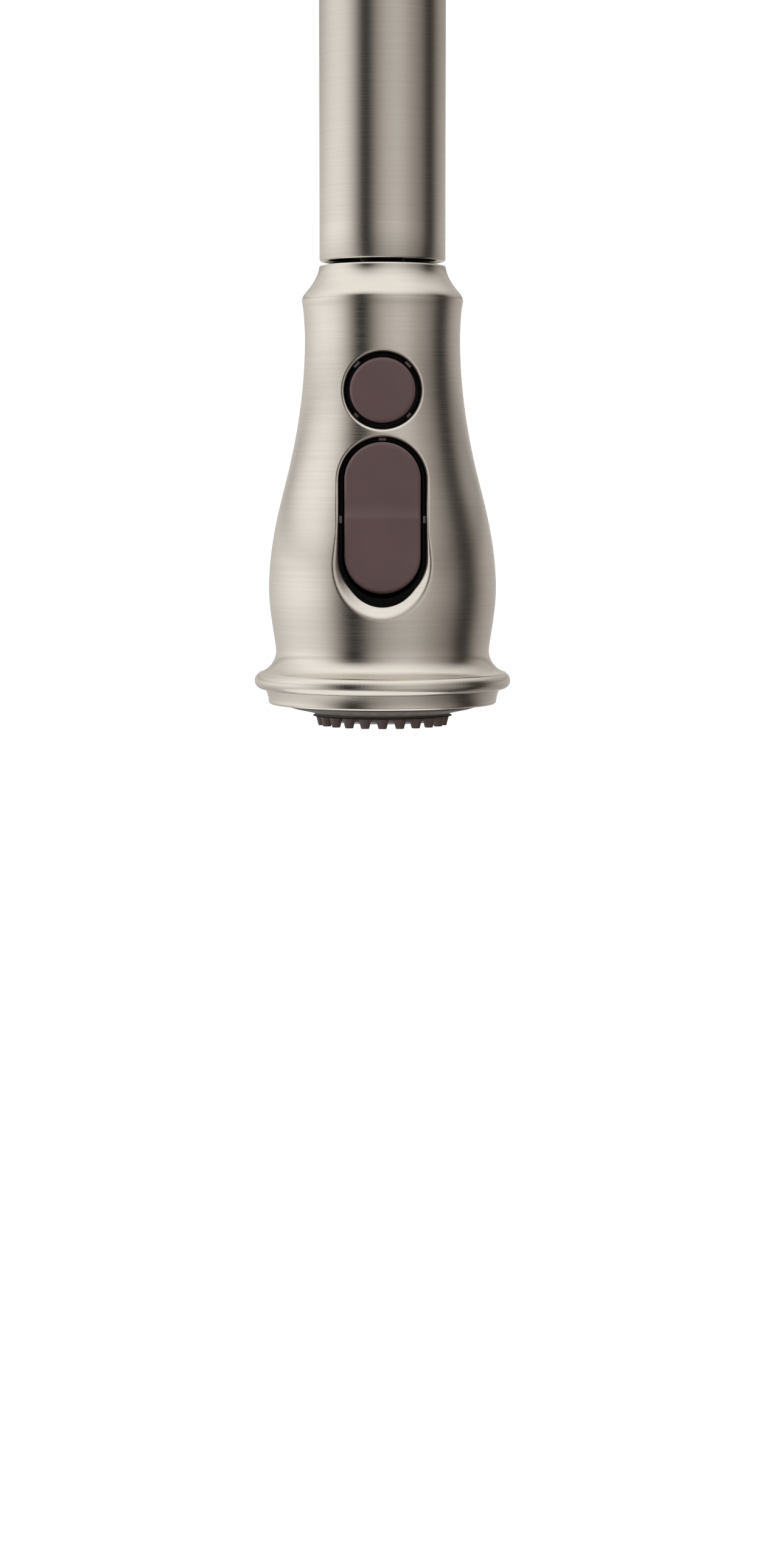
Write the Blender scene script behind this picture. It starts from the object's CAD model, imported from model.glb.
# Kitchen faucet with a pull-down spray head: finishes, smooth outer pieces, light and camera
import math
import bmesh
import bpy
from mathutils import Matrix, Vector


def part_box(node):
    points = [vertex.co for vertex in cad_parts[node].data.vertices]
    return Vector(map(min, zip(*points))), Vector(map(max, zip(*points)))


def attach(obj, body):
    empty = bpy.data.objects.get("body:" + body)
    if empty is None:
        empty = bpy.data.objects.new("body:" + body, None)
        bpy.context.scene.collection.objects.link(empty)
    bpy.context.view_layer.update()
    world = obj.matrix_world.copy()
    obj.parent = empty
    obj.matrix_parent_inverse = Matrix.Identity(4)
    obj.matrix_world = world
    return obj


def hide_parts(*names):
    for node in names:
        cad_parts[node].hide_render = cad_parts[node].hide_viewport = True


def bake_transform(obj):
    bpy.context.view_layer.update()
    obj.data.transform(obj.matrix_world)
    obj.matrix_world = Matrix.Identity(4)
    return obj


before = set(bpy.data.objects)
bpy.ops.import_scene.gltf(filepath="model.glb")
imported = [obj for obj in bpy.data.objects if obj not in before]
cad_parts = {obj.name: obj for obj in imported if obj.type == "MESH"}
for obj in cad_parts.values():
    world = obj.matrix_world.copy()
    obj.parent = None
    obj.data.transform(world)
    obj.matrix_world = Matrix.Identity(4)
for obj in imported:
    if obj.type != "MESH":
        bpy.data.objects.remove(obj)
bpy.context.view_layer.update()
mm = 0.001

headLow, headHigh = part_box("head_shell")
headX = (headLow.x + headHigh.x) / 2
rim, headFoot = headHigh.z, headLow.z      # the spray head hangs from its rim
print("frame loaded, head axis at", round(headX, 4), "rim at", round(rim, 4))


def startMaterial(name):
    material = bpy.data.materials.new(name)
    material.use_nodes = True
    tree = material.node_tree
    return material, tree, tree.nodes["Principled BSDF"]


def put(tree, kind, **settings):
    node = tree.nodes.new(kind)
    for key, value in settings.items():
        setattr(node, key, value)
    return node


def objectNoise(tree, scale, detail=3.0, source="Object"):
    place = put(tree, "ShaderNodeTexCoord")
    mapping = put(tree, "ShaderNodeMapping")
    mapping.inputs["Scale"].default_value = scale
    noise = put(tree, "ShaderNodeTexNoise")
    noise.inputs["Scale"].default_value = 1.0
    noise.inputs["Detail"].default_value = detail
    noise.inputs["Roughness"].default_value = 0.55
    tree.links.new(place.outputs[source], mapping.inputs["Vector"])
    tree.links.new(mapping.outputs["Vector"], noise.inputs["Vector"])
    return noise.outputs["Fac"]


def ramp(tree, factor, stops):
    node = put(tree, "ShaderNodeValToRGB")
    elements = node.color_ramp.elements
    elements[0].position, elements[0].color = stops[0][0], (*stops[0][1], 1)
    elements[1].position, elements[1].color = stops[-1][0], (*stops[-1][1], 1)
    for position, colour in stops[1:-1]:
        elements.new(position).color = (*colour, 1)
    tree.links.new(factor, node.inputs["Fac"])
    return node.outputs["Color"]


def spread(tree, factor, low, high, fromLow=0.3, fromHigh=0.7):
    node = put(tree, "ShaderNodeMapRange")
    node.inputs["From Min"].default_value = fromLow
    node.inputs["From Max"].default_value = fromHigh
    node.inputs["To Min"].default_value = low
    node.inputs["To Max"].default_value = high
    tree.links.new(factor, node.inputs["Value"])
    return node.outputs["Result"]


def bumpFrom(tree, height, strength, distance):
    node = put(tree, "ShaderNodeBump")
    node.inputs["Strength"].default_value = strength
    node.inputs["Distance"].default_value = distance
    tree.links.new(height, node.inputs["Height"])
    return node.outputs["Normal"]


def brushedMetal(name, dark, light, fineScale, broadScale, roughness=(0.19, 0.29), source="Object"):
    # fine grain in the roughness and bump, broad grain in the colour
    material, tree, shader = startMaterial(name)
    shader.inputs["Metallic"].default_value = 1.0
    fine = objectNoise(tree, fineScale, detail=4.0, source=source)
    broad = objectNoise(tree, broadScale, detail=2.0, source=source)
    tree.links.new(ramp(tree, broad, [(0.3, dark), (0.7, light)]), shader.inputs["Base Color"])
    tree.links.new(spread(tree, fine, *roughness), shader.inputs["Roughness"])
    tree.links.new(bumpFrom(tree, fine, 0.1, 0.00003), shader.inputs["Normal"])
    return material


def plainPlastic(name, dark, light, roughness=(0.35, 0.5), grain=1400, strength=0.15, specular=0.5):
    material, tree, shader = startMaterial(name)
    shader.inputs["Specular IOR Level"].default_value = specular
    mottle = objectNoise(tree, (90, 90, 90), detail=3.0)
    texture = objectNoise(tree, (grain, grain, grain), detail=2.0)
    tree.links.new(ramp(tree, mottle, [(0.3, dark), (0.7, light)]), shader.inputs["Base Color"])
    tree.links.new(spread(tree, texture, *roughness), shader.inputs["Roughness"])
    tree.links.new(bumpFrom(tree, texture, strength, 0.00004), shader.inputs["Normal"])
    return material


def threadedMetal(name, dark, light, pitch):
    material, tree, shader = startMaterial(name)
    shader.inputs["Metallic"].default_value = 1.0
    place = put(tree, "ShaderNodeTexCoord")
    wave = put(tree, "ShaderNodeTexWave", wave_type="BANDS", bands_direction="Z", wave_profile="TRI")
    wave.inputs["Scale"].default_value = math.pi / (10 * pitch)
    wave.inputs["Distortion"].default_value = 0.0
    tree.links.new(place.outputs["Object"], wave.inputs["Vector"])
    mottle = objectNoise(tree, (150, 150, 150), detail=4.0)
    tree.links.new(ramp(tree, mottle, [(0.3, dark), (0.7, light)]), shader.inputs["Base Color"])
    tree.links.new(spread(tree, mottle, 0.22, 0.36), shader.inputs["Roughness"])
    tree.links.new(bumpFrom(tree, wave.outputs["Fac"], 0.9, pitch * 0.45), shader.inputs["Normal"])
    return material


def braidedSleeve(name, dark, light, around, along):
    # reads the piece's own map: u once round, v in metres along
    material, tree, shader = startMaterial(name)
    place = put(tree, "ShaderNodeTexCoord")
    heights = []
    for lean in (1, -1):
        mapping = put(tree, "ShaderNodeMapping")
        mapping.inputs["Scale"].default_value = (around, along * lean, 1)
        tree.links.new(place.outputs["UV"], mapping.inputs["Vector"])
        wave = put(tree, "ShaderNodeTexWave", wave_type="BANDS", bands_direction="DIAGONAL", wave_profile="SIN")
        wave.inputs["Scale"].default_value = 0.2 * math.pi / 3
        tree.links.new(mapping.outputs["Vector"], wave.inputs["Vector"])
        heights.append(wave.outputs["Fac"])
    mix = put(tree, "ShaderNodeMath", operation="MAXIMUM")
    tree.links.new(heights[0], mix.inputs[0])
    tree.links.new(heights[1], mix.inputs[1])
    tree.links.new(ramp(tree, mix.outputs[0], [(0.3, dark), (0.95, light)]), shader.inputs["Base Color"])
    shader.inputs["Roughness"].default_value = 0.55
    tree.links.new(bumpFrom(tree, mix.outputs[0], 0.7, 0.0004), shader.inputs["Normal"])
    return material


nickelDark, nickelLight = (0.715, 0.675, 0.62), (0.755, 0.715, 0.66)
finishes = {
    # the grain runs round the turned pieces, so it is fine along z and broad across
    "nickel": brushedMetal("brushedNickel", nickelDark, nickelLight, (60, 60, 7000), (14, 14, 1500)),
    "nickelTube": brushedMetal("brushedTube", nickelDark, nickelLight, (5, 7000, 1), (1.2, 1500, 1), source="UV"),
    "nickelLever": brushedMetal("brushedLever", nickelDark, nickelLight, (1500, 1500, 1500), (120, 120, 120)),
    "satinSteel": brushedMetal("satinSteel", (0.52, 0.51, 0.50), (0.62, 0.61, 0.60), (500, 500, 500), (60, 60, 60)),
    "key": plainPlastic("mauveKey", (0.178, 0.113, 0.118), (0.198, 0.128, 0.133),
                        roughness=(0.34, 0.46), strength=0.1, specular=0.3),
    "nozzle": plainPlastic("mauveRubber", (0.10, 0.067, 0.067), (0.125, 0.085, 0.083), roughness=(0.45, 0.6)),
    "facePlate": plainPlastic("greyPlate", (0.095, 0.08, 0.068), (0.115, 0.097, 0.084), roughness=(0.4, 0.55)),
    "paleRing": plainPlastic("paleRing", (0.30, 0.29, 0.28), (0.36, 0.35, 0.34), roughness=(0.3, 0.4)),
    "clip": plainPlastic("greyClip", (0.115, 0.10, 0.095), (0.14, 0.122, 0.115)),
    "black": plainPlastic("blackPlastic", (0.002, 0.002, 0.002), (0.004, 0.004, 0.004),
                          roughness=(0.6, 0.75), specular=0.1),
    "rubber": plainPlastic("blackRubber", (0.012, 0.012, 0.012), (0.022, 0.022, 0.021),
                           roughness=(0.6, 0.75), grain=900),
    "brass": brushedMetal("turnedBrass", (0.62, 0.46, 0.20), (0.74, 0.57, 0.28), (80, 80, 1500), (70, 70, 70)),
    "darkBrass": brushedMetal("darkBrass", (0.010, 0.009, 0.008), (0.018, 0.016, 0.013), (80, 80, 1500), (70, 70, 70),
                              roughness=(0.5, 0.6)),
    "brassThread": threadedMetal("brassThread", (0.58, 0.43, 0.19), (0.72, 0.55, 0.27), 0.0015),
    "steel": brushedMetal("zincSteel", (0.48, 0.48, 0.50), (0.62, 0.62, 0.64), (700, 700, 700), (45, 45, 45)),
    "copper": brushedMetal("drawnCopper", (0.64, 0.30, 0.17), (0.78, 0.40, 0.25), (400, 400, 60), (50, 50, 50)),
    "ceramic": plainPlastic("whiteCeramic", (0.78, 0.76, 0.72), (0.86, 0.84, 0.80),
                            roughness=(0.08, 0.14), strength=0.02),
    "hose": braidedSleeve("nylonBraid", (0.03, 0.03, 0.032), (0.20, 0.20, 0.205), 10, 520),
}
nodeFinish = {
    "nickel": ["deck_flange", "valve_body", "bonnet", "swivel_nut", "face_ring", "head_shell"],
    "nickelLever": ["handle_hub", "handle_lever"], "nickelTube": ["gooseneck"],
    "satinSteel": ["handle_cap"], "paleRing": ["aerator_housing"],
    "key": ["pause_button", "rocker_button"], "nozzle": ["nozzle_pad"], "facePlate": ["nozzle_plate"],
    "clip": ["frame_clips", "aerator_insert", "nozzle_backing", "pause_stem", "diverter_spool",
             "cartridge_base", "cartridge_housing"],
    "black": ["button_frame", "waterway_core", "ball_nut", "dock_sleeve", "dock_collar", "swivel_bushes",
              "cartridge_carrier", "disc_carrier"],
    "rubber": ["deck_seal", "rubber_washer", "cartridge_seals", "hose_washer", "ball_seal", "aerator_seal",
               "pause_seal", "spool_seals"],
    "brass": ["mounting_nut", "waterway_block", "cartridge_nut", "cartridge_stem", "spout_ferrule",
              "hose_tail_fitting"],
    "darkBrass": ["inlet_swivel", "hose_fitting"], "brassThread": ["mounting_shank"],
    "steel": ["steel_washer", "nut_screws", "stem_pin", "handle_screw", "rocker_pin", "core_screws",
              "pause_spring"],
    "copper": ["supply_pipes", "outlet_pipe"], "ceramic": ["fixed_disc", "moving_disc"],
    "hose": ["hose_arch", "hose_drop"],
}
for finish, nodes in nodeFinish.items():
    for node in nodes:
        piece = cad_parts[node]
        piece.data.materials.clear()
        piece.data.materials.append(finishes[finish])
print("finishes on", sum(len(v) for v in nodeFinish.values()), "nodes")


def stretchCurve(a, b, count):
    # smooth run between two stations of [height, radius, change of radius per unit of height]
    out = []
    for i in range(count + 1):
        s = i / count
        h = b[0] - a[0]
        r = (a[1] * (2 * s**3 - 3 * s**2 + 1) + a[2] * h * (s**3 - 2 * s**2 + s)
             + b[1] * (3 * s**2 - 2 * s**3) + b[2] * h * (s**3 - s**2))
        out.append((r, a[0] + s * h))
    return out


def arcPoints(centre, radius, start, end, count):
    out = []
    for i in range(count + 1):
        a = math.radians(start + (end - start) * i / count)
        out.append((centre[0] + radius * math.cos(a), centre[1] + radius * math.sin(a)))
    return out


def finishPiece(bm, name, material, body, replaced=()):
    mesh = bpy.data.meshes.new(name)
    for face in bm.faces:
        face.smooth = True
    bm.to_mesh(mesh)
    bm.free()
    piece = bpy.data.objects.new(name, mesh)
    bpy.context.scene.collection.objects.link(piece)
    mesh.materials.append(finishes[material])
    if body:
        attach(piece, body)
    if replaced:
        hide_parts(*replaced)
    return piece


def spunMesh(profile, segments, closed=True):
    # profile points are (radius, height) in millimetres about z
    bm = bmesh.new()
    verts = [bm.verts.new((r * mm, 0, z * mm)) for r, z in profile]
    edges = [bm.edges.new((a, b)) for a, b in zip(verts, verts[1:])]
    if closed:
        edges.append(bm.edges.new((verts[-1], verts[0])))
    bmesh.ops.spin(bm, geom=verts + edges, cent=(0, 0, 0), axis=(0, 0, 1), dvec=(0, 0, 0),
                   angle=2 * math.pi, steps=segments, use_merge=True, use_duplicate=False)
    bmesh.ops.remove_doubles(bm, verts=bm.verts, dist=1e-7)
    bmesh.ops.recalc_face_normals(bm, faces=bm.faces)
    return bm


def ringPoints(count):
    # angles of the points round a ring
    return [2 * math.pi * i / count for i in range(count)]


def joinRings(bm, a, b, layer=None, low=0, high=0):
    # quads between two rings; with a map, u runs once round and v from low to high
    count = len(a)
    for j in range(count):
        n = (j + 1) % count
        face = bm.faces.new([a[j], a[n], b[n], b[j]])
        if layer:
            corners = [(j / count, low), ((j + 1) / count, low), ((j + 1) / count, high), (j / count, high)]
            for loop, uv in zip(face.loops, corners):
                loop[layer].uv = uv


def creaseByAngle(bm, degrees):
    limit = math.radians(degrees)
    for edge in bm.edges:
        if len(edge.link_faces) == 2 and edge.calc_face_angle(0) > limit:
            edge.smooth = False


# sizes in millimetres, heights from the rim down
head = {"neck": 14.4, "shoulder": 18.32, "waist": 17.67, "belly": 26.0, "foot": 24.42, "wall": 2.2,
        "height": 96.0, "cove": 8.9, "coveRadius": 5.25, "bellyUp": 23, "bead": 1.9, "beadMiddle": 27.45,
        "beadUp": 2, "beadStart": 61.7, "ringBore": 0.08, "ringSeat": 90.3, "step": 87, "wallFoot": 85,
        "wallTop": 11, "dockBore": 12.15, "dockDepth": 9.5, "segments": 192}
openings = {"pauseZ": -28.5, "pauseR": 8.5, "rockerZ": -57.1, "rockerR": 9.715, "rockerHalf": 8.475,
            "lip": 0.85, "lowLip": 0.3, "land": 0.05, "scoopReach": 5.2, "scoopY": 22.4, "scoopLip": 0.1,
            "scoopSlope": 0.9, "scoopSoft": 0.7, "cutFront": 45, "cutDepth": 36, "pausePoints": 128,
            "rockerPoints": 224}


def shellOutside():
    h = head
    coveZ, bellyZ, cove = h["cove"] - h["height"], h["bellyUp"] - h["height"], h["coveRadius"]
    # stations from the rim to the cove: height, radius, lean, steps from the station above
    stations = [(-0.35, h["neck"], -0.1, 0), (-5.6, h["shoulder"] - 1.2, -0.85, 18), (-7.8, h["shoulder"], 0, 8),
                (-9.8, h["shoulder"] - 0.3, 0.1, 6), (-16.5, h["waist"], 0, 10), (-50, 22.4, -0.265, 44),
                (bellyZ, h["belly"], 0, 30), (coveZ + 1.6, h["foot"] + 0.18, 0.15, 20)]
    points = [(h["neck"] - 0.5, 0.0), (h["neck"] - 0.15, -0.06), (h["neck"], -0.35)]
    for above, below in zip(stations, stations[1:]):
        points += stretchCurve(above, below, below[3])[1:]
    end = math.degrees(math.acos((cove + h["foot"] - h["beadMiddle"] - 0.9) / cove))
    turns = [math.radians(end * i / 16) for i in range(17)]
    points += [(h["foot"] + cove * (1 - math.cos(a)), coveZ - cove * math.sin(a)) for a in turns]
    points += arcPoints((h["beadMiddle"], h["beadUp"] - h["height"]), h["bead"], h["beadStart"], -90, 22)
    return points


shellLine = shellOutside()


def shellRadius(z):
    for (r1, z1), (r2, z2) in zip(shellLine, shellLine[1:]):
        if z2 <= z <= z1 and z1 > z2:
            return r1 + (r2 - r1) * (z1 - z) / (z1 - z2)
    return shellLine[-1][0]


def shellNormal(x, y, z):
    slope = (shellRadius(z + 0.15) - shellRadius(z - 0.15)) / 0.3
    r = math.hypot(x, y)
    return Vector((x / r, y / r, -slope)).normalized()


def stadiumOutline(radius, half, count):
    # points and outward normals round a bar with round ends, in x and z
    out = []
    straight, turn = 2 * half, math.pi * radius
    total = 2 * (straight + turn)
    for i in range(count):
        s = total * i / count
        if s < turn:
            a = s / radius
            out.append(((radius * math.cos(a), half + radius * math.sin(a)), (math.cos(a), math.sin(a))))
        elif s < turn + straight:
            out.append(((-radius, half - (s - turn)), (-1, 0)))
        elif s < 2 * turn + straight:
            a = math.pi + (s - turn - straight) / radius
            out.append(((radius * math.cos(a), -half + radius * math.sin(a)), (math.cos(a), math.sin(a))))
        else:
            out.append(((radius, -half + (s - 2 * turn - straight)), (1, 0)))
    return out


def softMax(a, b, k):
    h = max(k - abs(a - b), 0) / k
    return max(a, b) + h * h * k / 4


def skinDepth(x, z, scooped):
    # distance in front of the axis of the shell's outer face
    shell = math.sqrt(max(shellRadius(z)**2 - x * x, 0))
    if not scooped:
        return shell
    o = openings
    away = math.hypot(x, max(abs(z - o["rockerZ"]) - o["rockerHalf"], 0)) - o["rockerR"] - o["scoopLip"]
    return -softMax(-shell, -(o["scoopY"] + o["scoopSlope"] * max(away, 0)), o["scoopSoft"])


def lowness(dz, scooped):
    # 0 beside and above the rocker's ridge, 1 at the foot of its opening
    return min(max((2 - dz) / 19, 0), 1) if scooped else 0


def lipAt(dz, scooped):
    return openings["lip"] + (openings["lowLip"] - openings["lip"]) * lowness(dz, scooped)


def reach(dz, scooped):
    # how far out from the opening the lip's strip goes before it meets the shell
    t = lowness(dz, scooped)
    return openings["lip"] + openings["land"] + openings["scoopReach"] * t * t * (3 - 2 * t)


def cutShell(shell, middle, outline, scooped):
    # an opening through the shell's front, as wide as the lip's strip that fills its edge
    bm = bmesh.new()
    ring = []
    for (x, dz), (nx, nz) in outline:
        d = reach(dz, scooped)
        ring.append(bm.verts.new(((x + nx * d) * mm, -openings["cutFront"] * mm, (middle + dz + nz * d) * mm)))
    face = bm.faces.new(ring)
    made = bmesh.ops.extrude_face_region(bm, geom=[face])
    far = [v for v in made["geom"] if isinstance(v, bmesh.types.BMVert)]
    bmesh.ops.translate(bm, verts=far, vec=(0, openings["cutDepth"] * mm, 0))
    bmesh.ops.recalc_face_normals(bm, faces=bm.faces)
    mesh = bpy.data.meshes.new("cutter")
    bm.to_mesh(mesh)
    bm.free()
    cutter = bpy.data.objects.new("cutter", mesh)
    bpy.context.scene.collection.objects.link(cutter)
    cut = shell.modifiers.new("cut", "BOOLEAN")
    cut.object, cut.operation, cut.solver = cutter, "DIFFERENCE", "EXACT"
    bpy.context.view_layer.update()
    result = bpy.data.meshes.new_from_object(shell.evaluated_get(bpy.context.evaluated_depsgraph_get()))
    shell.modifiers.clear()
    shell.data = result
    bpy.data.objects.remove(cutter)


def lipStrip(bm, middle, outline, scooped):
    # rings from inside the wall, round the lip and out over the shell's face
    # first two steps are millimetres down the wall, the next eight are shares of the lip's radius
    steps = [(0, -2.3), (0, -1.4)]
    steps += [(1 - math.cos(a), math.sin(a) - 1) for a in [math.pi / 2 * i / 7 for i in range(8)]]
    rings = []
    for i, (out, drop) in enumerate(steps + [(s / 16, 0) for s in range(1, 17)] + [(2, 0)]):
        loop = []
        for (x, dz), (nx, nz) in outline:
            end, lip = reach(dz, scooped), lipAt(dz, scooped)
            d = out * lip if i < len(steps) else lip + (end - lip) * min(out, 1)
            fall = drop * lip if 1 < i < len(steps) else drop
            under = 0
            if out == 2:
                d, under = end + 0.25, 0.01
            px, pz = x + nx * d, middle + dz + nz * d
            depth = skinDepth(px, pz, scooped) + fall - under
            loop.append(bm.verts.new((px * mm, -depth * mm, pz * mm)))
        rings.append(loop)
    for a, b in zip(rings, rings[1:]):
        joinRings(bm, a, b)


def makeShell():
    h, o = head, openings
    wall, foot, ring, bore = h["wall"], h["foot"], h["foot"] + h["ringBore"], h["dockBore"]
    inside = [(ring, -h["height"]), (ring, -h["ringSeat"])]
    inside += [(foot - wall, -h["ringSeat"]), (foot - wall, -h["step"])]
    inside += [(r - wall, z) for r, z in reversed(shellLine) if -h["wallFoot"] < z < -h["wallTop"]]
    inside += [(bore, -h["dockDepth"]), (bore, 0.0)]
    bm = spunMesh(shellLine + inside, h["segments"])
    shell = finishPiece(bm, "sprayShell", "nickel", None)
    pauseRim = [((o["pauseR"] * math.cos(a), o["pauseR"] * math.sin(a)), (math.cos(a), math.sin(a)))
                for a in ringPoints(o["pausePoints"])]
    rockerRim = stadiumOutline(o["rockerR"], o["rockerHalf"], o["rockerPoints"])
    cutShell(shell, o["pauseZ"], pauseRim, False)
    cutShell(shell, o["rockerZ"], rockerRim, True)
    mesh = shell.data
    normals = []                           # the bead, the rim and the inside keep their own smooth turns
    for face in mesh.polygons:
        for k in face.loop_indices:
            x, y, z = (c / mm for c in mesh.vertices[mesh.loops[k].vertex_index].co)
            near = -92 < z < -0.4 and abs(math.hypot(x, y) - shellRadius(z)) < 0.05
            best = shellNormal(x, y, z) if near else face.normal
            normals.append(best if best.dot(face.normal) > 0.8 else face.normal)
        face.use_smooth = True
    mesh.normals_split_custom_set(normals)
    for v in mesh.vertices:
        v.co = v.co + Vector((headX, 0, rim))
    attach(shell, "head")
    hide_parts("head_shell")
    bm = bmesh.new()
    lipStrip(bm, o["pauseZ"], pauseRim, False)
    lipStrip(bm, o["rockerZ"], rockerRim, True)
    bmesh.ops.recalc_face_normals(bm, faces=bm.faces)
    front = [f for f in bm.faces if abs(f.normal.y) > 0.5]
    if sum(f.normal.y for f in front) > 0:
        bmesh.ops.reverse_faces(bm, faces=bm.faces)
    bmesh.ops.translate(bm, verts=bm.verts, vec=(headX, 0, rim))
    finishPiece(bm, "sprayShellLips", "nickel", "head")


makeShell()
print("spray shell made")


# front and back are distances in front of the head's axis; pegs are radius, length and that distance
rocker = {"middle": -56.8, "radius": 8.475, "half": 8.35, "front": 22.6, "dish": 1.1, "dishRun": 3.9,
          "dishPower": 2.2, "edge": 1.0, "back": 18.6, "rows": 120, "columns": 48,
          "hub": (2.4, 13.6, 16, 48), "tip": (1.6, 3.2, 5, 32), "arm": (3.2, 11, 2.4), "armMiddle": 10.5}


def rockerFront(z):
    if z <= 0:
        return rocker["front"]
    s = min(z / rocker["dishRun"], 1)
    return rocker["front"] - rocker["dish"] * (1 - (1 - s)**rocker["dishPower"])


def addPeg(bm, radius, length, front, segments):
    # a round peg across the head
    peg = bmesh.ops.create_cone(bm, cap_ends=True, segments=segments, radius1=radius * mm, radius2=radius * mm,
                                depth=length * mm)
    place = Matrix.Translation((0, -front * mm, 0)) @ Matrix.Rotation(math.pi / 2, 4, "Y")
    bmesh.ops.transform(bm, verts=peg["verts"], matrix=place)


def makeRocker():
    r, half, edge = rocker["radius"], rocker["half"], rocker["edge"]
    straight = 0.4                         # share of the grid on the bar's straight sides
    bm = bmesh.new()
    bmesh.ops.create_grid(bm, x_segments=rocker["columns"], y_segments=rocker["rows"], size=1)
    for v in bm.verts:
        s = v.co.y
        z = s / straight * half
        if abs(s) > straight:
            z = math.copysign(half + r * math.sin(math.pi / 2 * (abs(s) - straight) / 0.6), s)
        wide = r if abs(z) <= half else math.sqrt(max(r * r - (abs(z) - half)**2, 0))
        x = wide * math.sin(math.pi / 2 * v.co.x)
        inside = r - math.hypot(x, max(abs(z) - half, 0))
        e = min(max(inside, 0), edge)
        drop = edge - math.sqrt(edge**2 - (edge - e)**2)
        v.co = Vector((x * mm, -(rockerFront(z) - drop) * mm, z * mm))
    bmesh.ops.remove_doubles(bm, verts=bm.verts, dist=1e-6)
    rimEdges = [e for e in bm.edges if e.is_boundary]
    made = bmesh.ops.extrude_edge_only(bm, edges=rimEdges)
    for v in [g for g in made["geom"] if isinstance(g, bmesh.types.BMVert)]:
        v.co.y = -rocker["back"] * mm
    bmesh.ops.holes_fill(bm, edges=[e for e in bm.edges if e.is_boundary])
    bmesh.ops.recalc_face_normals(bm, faces=bm.faces)
    # hub and lifting arm behind the key
    addPeg(bm, *rocker["hub"])
    arm = bmesh.ops.create_cube(bm, size=1)
    place = Matrix.Translation((0, -rocker["armMiddle"] * mm, 0))
    size = Matrix.Diagonal([side * mm for side in rocker["arm"]] + [1])
    bmesh.ops.transform(bm, verts=arm["verts"], matrix=place @ size)
    addPeg(bm, *rocker["tip"])
    creaseByAngle(bm, 32)
    bmesh.ops.translate(bm, verts=bm.verts, vec=(headX, 0, rim + rocker["middle"] * mm))
    finishPiece(bm, "rockerKey", "key", "rocker", ["rocker_button"])


pause = {"middle": -28.5, "radius": 7.25, "front": 19.0, "back": 13.8, "edge": 1.0, "crown": 0.12,
         "flange": 0.6, "flangeFront": 14.4}


def makePause():
    r, f, e = pause["radius"], pause["front"], pause["edge"]
    face = [(0, f)] + [(r * k / 12 * 0.85, f - pause["crown"] * (k / 12)**2) for k in range(1, 12)]
    edge = arcPoints((r - e, f - e - pause["crown"]), e, 90, 0, 10)
    wide, step, back = r + pause["flange"], pause["flangeFront"], pause["back"]
    bm = spunMesh(face + edge + [(r, step), (wide, step), (wide, back), (0, back)], 96, closed=False)
    bmesh.ops.rotate(bm, verts=bm.verts, cent=(0, 0, 0), matrix=Matrix.Rotation(math.pi / 2, 3, "X"))
    creaseByAngle(bm, 40)
    bmesh.ops.translate(bm, verts=bm.verts, vec=(headX, 0, rim + pause["middle"] * mm))
    finishPiece(bm, "pauseKey", "key", "pause", ["pause_button"])


def makeSpring():
    # the coil stays on the core and shortens as the pause key goes in
    bm = bmesh.new()
    bm.from_mesh(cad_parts["pause_spring"].data)
    bmesh.ops.remove_doubles(bm, verts=bm.verts, dist=0.001 * mm)
    piece = finishPiece(bm, "pauseSpring", "steel", None, ["pause_spring"])
    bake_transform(piece)


makeRocker()
makePause()
makeSpring()
print("buttons made")


spout = {"radius": 14.3, "bore": 13.1, "arch": 100.0, "archZ": 340.0, "outletZ": 270.0, "riserZ": 117.0,
         "lip": 0.3, "segments": 96}
hose = {"radius": 6.0, "bore": 4.0, "segments": 32, "rows": 60}


def tubePath(lowOutlet, lowRiser):
    # up the outlet leg, over the arch and down the riser, in x and z
    arch, archZ = spout["arch"], spout["archZ"]
    path = [(2 * arch, lowOutlet), (2 * arch, lowOutlet + 0.4)]
    path += [(2 * arch, lowOutlet + (archZ - lowOutlet) * i / 8) for i in range(1, 9)]
    path += [(arch + arch * math.cos(math.pi * i / 96), archZ + arch * math.sin(math.pi * i / 96))
             for i in range(1, 97)]
    return path + [(0.0, archZ - (archZ - lowRiser) * i / 24) for i in range(1, 25)]


def archTube(outer, inner, lowOutlet, lowRiser, segments, lip=0.0):
    # a round tube along the path, with its own map: u once round, v in metres along
    path = tubePath(lowOutlet, lowRiser)
    bm = bmesh.new()
    layer = bm.loops.layers.uv.new("tubeMap")
    side = Vector((0, 1, 0))
    ends = []
    for radius, ease in ((outer, -lip), (inner, lip)):
        travelled, rings = 0.0, []
        for k, (x, z) in enumerate(path):
            a, b = path[max(k - 1, 0)], path[min(k + 1, len(path) - 1)]
            up = Vector((b[0] - a[0], 0, b[1] - a[1])).normalized().cross(side)
            r = radius + (ease if k == 0 else 0)
            rings.append([bm.verts.new((Vector((x, 0, z)) + (up * math.cos(t) + side * math.sin(t)) * r) * mm)
                          for t in ringPoints(segments)])
            if k > 0:
                step = (Vector((x, 0, z)) - Vector((a[0], 0, a[1]))).length * mm
                joinRings(bm, rings[k - 1], rings[k], layer, travelled, travelled + step)
                travelled += step
        ends.append((rings[0], rings[-1]))
    for outerEnd, innerEnd in zip(*ends):
        joinRings(bm, outerEnd, innerEnd)
    bmesh.ops.recalc_face_normals(bm, faces=bm.faces)
    creaseByAngle(bm, 50)
    return bm


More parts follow.
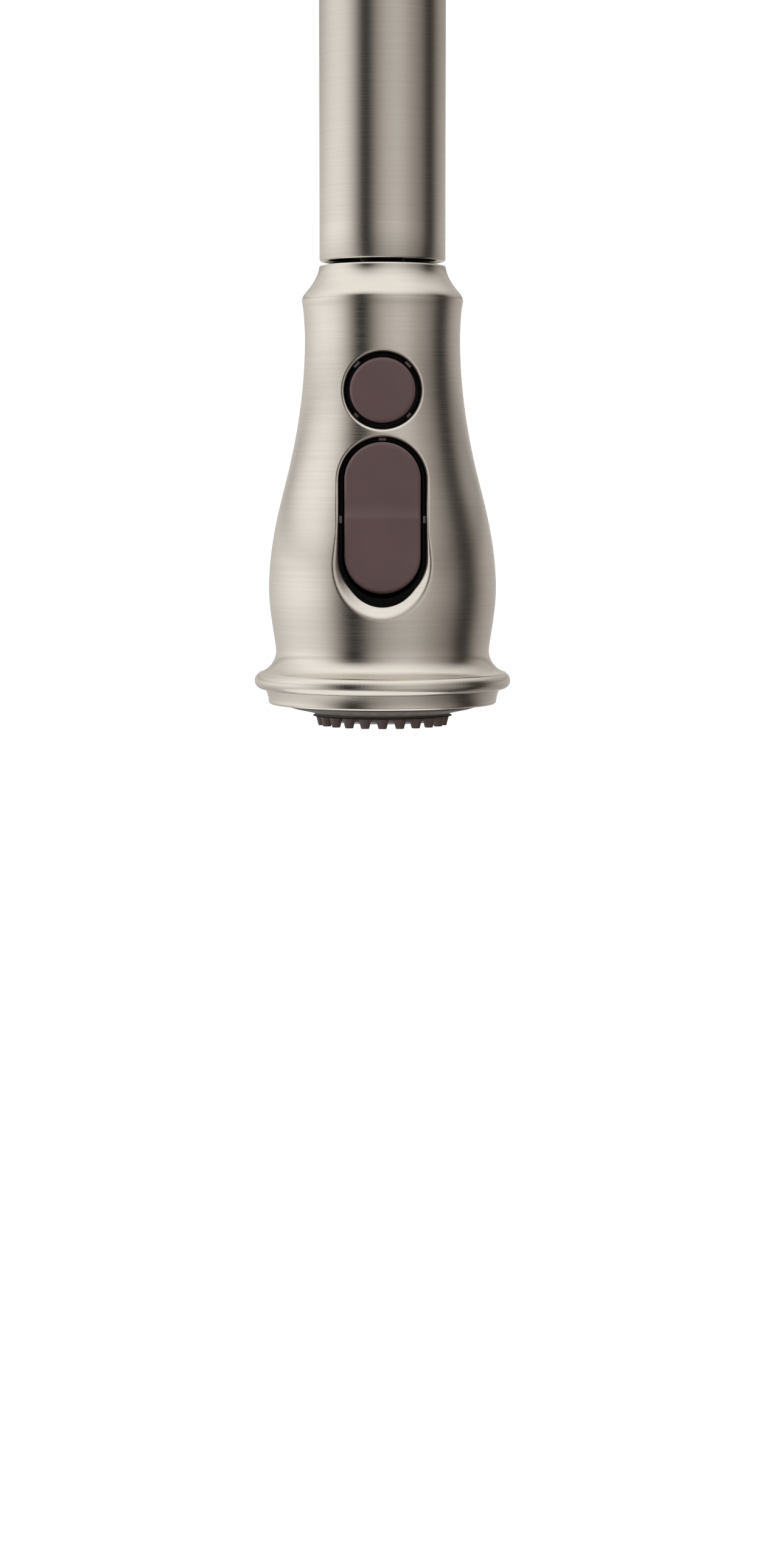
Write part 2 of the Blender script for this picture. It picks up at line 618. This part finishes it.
tubeMesh = archTube(spout["radius"], spout["bore"], spout["outletZ"], spout["riserZ"], spout["segments"],
                    lip=spout["lip"])
spoutTube = finishPiece(tubeMesh, "spoutTube", "nickelTube", "spout", ["gooseneck"])
spoutTube.visible_glossy = False           # the riser would show as a dark line down the outlet leg
hoseMesh = archTube(hose["radius"], hose["bore"], spout["archZ"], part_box("hose_arch")[0].z / mm, hose["segments"])
sprayHose = finishPiece(hoseMesh, "sprayHose", "hose", "spout", ["hose_arch"])
sprayHose.visible_glossy = False
for node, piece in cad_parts.items():
    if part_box(node)[1].x < 0.12:           # round the riser, where they would show in the head as smudges
        piece.visible_glossy = False


def makeDrop():
    # the straight length that is drawn out when the head is pulled down
    low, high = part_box("hose_drop")
    bm = bmesh.new()
    layer = bm.loops.layers.uv.new("tubeMap")
    rows = hose["rows"]
    heights = [low.z + (high.z - low.z) * k / rows for k in range(rows + 1)]
    walls = []
    for radius in (hose["radius"] * mm, hose["bore"] * mm):
        walls.append([[bm.verts.new((headX + radius * math.cos(t), radius * math.sin(t), z))
                       for t in ringPoints(hose["segments"])] for z in heights])
    for wall in walls:
        for k in range(rows):
            joinRings(bm, wall[k], wall[k + 1], layer, heights[k], heights[k + 1])
    outer, inner = walls
    for k in (0, rows):
        joinRings(bm, outer[k], inner[k], layer, heights[k], heights[k])
    bmesh.ops.recalc_face_normals(bm, faces=bm.faces)
    piece = finishPiece(bm, "pulledHose", "hose", None, ["hose_drop"])
    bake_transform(piece)


makeDrop()
print("tube and hose made")


# brightness round the studio by direction, in degrees from the camera's side towards +x
studio = [(-180, 0.72), (-172, 0.56), (-160, 0.54), (-140, 0.64), (-130, 0.72), (-120, 0.80),
          (-105, 0.90), (-90, 0.93), (-75, 0.88), (-65, 0.76), (-55, 0.55), (-47, 0.30), (-40, 0.10),
          (-36, 0.0), (-27, 0.0), (-19, 0.12), (-10, 0.34), (5, 0.52), (22, 0.60), (36, 0.56), (52, 0.40),
          (66, 0.30), (78, 0.18), (88, 0.04), (101, 0.03), (112, 0.20), (120, 0.33), (134, 0.43),
          (150, 0.46), (160, 0.48), (172, 0.6), (180, 0.75)]
# share of that brightness by height of the direction, and how far a bright ceiling takes over
byHeight = {"dim": [(-1.0, 0.45), (-0.85, 0.5), (-0.3, 0.8), (-0.05, 1.0), (0.1, 1.0), (0.135, 0.68),
                    (0.18, 0.68), (0.26, 1.0), (1.0, 1.0)],
            "ceiling": [(-1.0, 0.0), (0.45, 0.0), (0.95, 1.0), (1.0, 1.0)], "ceilingWhite": 0.95, "strength": 1.17}


def makeWorld():
    # the studio's brightness by direction, times the share for the height, then the ceiling; white behind
    world = bpy.data.worlds.new("studio")
    bpy.context.scene.world = world
    world.use_nodes = True
    tree = world.node_tree
    background = tree.nodes["Background"]
    place = put(tree, "ShaderNodeTexCoord")
    mapping = put(tree, "ShaderNodeMapping")
    mapping.inputs["Rotation"].default_value = (0, 0, math.pi / 2)
    turn = put(tree, "ShaderNodeTexGradient", gradient_type="RADIAL")
    tree.links.new(place.outputs["Generated"], mapping.inputs["Vector"])
    tree.links.new(mapping.outputs["Vector"], turn.inputs["Vector"])
    stops = []
    for angle, bright in studio:
        w = min(bright, 0.8) / 0.8         # the darker it is, the warmer
        stops.append(((angle + 180) / 360, (bright, bright * (0.88 + 0.11 * w), bright * (0.79 + 0.175 * w))))
    around = ramp(tree, turn.outputs["Fac"], stops)
    split = put(tree, "ShaderNodeSeparateXYZ")
    tree.links.new(place.outputs["Generated"], split.inputs["Vector"])
    lift = spread(tree, split.outputs["Z"], 0, 1, -1, 1)
    dim = ramp(tree, lift, [((h + 1) / 2, (b, b, b)) for h, b in byHeight["dim"]])
    above = ramp(tree, lift, [((h + 1) / 2, (b, b, b)) for h, b in byHeight["ceiling"]])
    dimmed = put(tree, "ShaderNodeMix", data_type="RGBA", blend_type="MULTIPLY")
    dimmed.inputs["Factor"].default_value = 1
    tree.links.new(around, dimmed.inputs["A"])
    tree.links.new(dim, dimmed.inputs["B"])
    ceiling = put(tree, "ShaderNodeMix", data_type="RGBA")
    white = byHeight["ceilingWhite"]
    ceiling.inputs["B"].default_value = (white, white * 0.99, white * 0.965, 1)
    tree.links.new(above, ceiling.inputs["Factor"])
    tree.links.new(dimmed.outputs["Result"], ceiling.inputs["A"])
    seen = put(tree, "ShaderNodeLightPath")
    plain = put(tree, "ShaderNodeMix", data_type="RGBA")
    plain.inputs["B"].default_value = (1, 1, 1, 1)
    tree.links.new(seen.outputs["Is Camera Ray"], plain.inputs["Factor"])
    tree.links.new(ceiling.outputs["Result"], plain.inputs["A"])
    tree.links.new(plain.outputs["Result"], background.inputs["Color"])
    background.inputs["Strength"].default_value = byHeight["strength"]


# low enough for the head at full pull
floor = {"radius": 0.46, "pull": 0.45, "clear": 0.02, "grey": 0.8, "glow": 0.4}


def makeFloor():
    bm = bmesh.new()
    bmesh.ops.create_circle(bm, cap_ends=True, segments=128, radius=floor["radius"])
    bmesh.ops.translate(bm, verts=bm.verts, vec=(0, 0, headFoot - floor["pull"] - floor["clear"]))
    material, tree, shader = startMaterial("paleFloor")
    shader.inputs["Base Color"].default_value = (floor["grey"], floor["grey"], floor["grey"], 1)
    shader.inputs["Roughness"].default_value = 0.9
    shader.inputs["Emission Color"].default_value = (1, 1, 1, 1)
    shader.inputs["Emission Strength"].default_value = floor["glow"]
    finishes["floor"] = material
    finishPiece(bm, "studioFloor", "floor", None)


makeWorld()
makeFloor()

# metres, degrees and millimetres of lens
view = {"distance": 0.714, "eyeUnderRim": 0.0514, "pitch": 5.33, "lens": 71.44}
camera = bpy.data.objects.new("camera", bpy.data.cameras.new("camera"))
camera.data.lens, camera.data.sensor_width = view["lens"], 36
camera.location = (headX, -view["distance"], rim - view["eyeUnderRim"])
camera.rotation_euler = (math.radians(90 - view["pitch"]), 0, 0)
camera.data.clip_start = 0.01
bpy.context.scene.collection.objects.link(camera)
bpy.context.scene.camera = camera
bpy.context.scene.view_settings.view_transform = "Standard"

print("camera and light set")
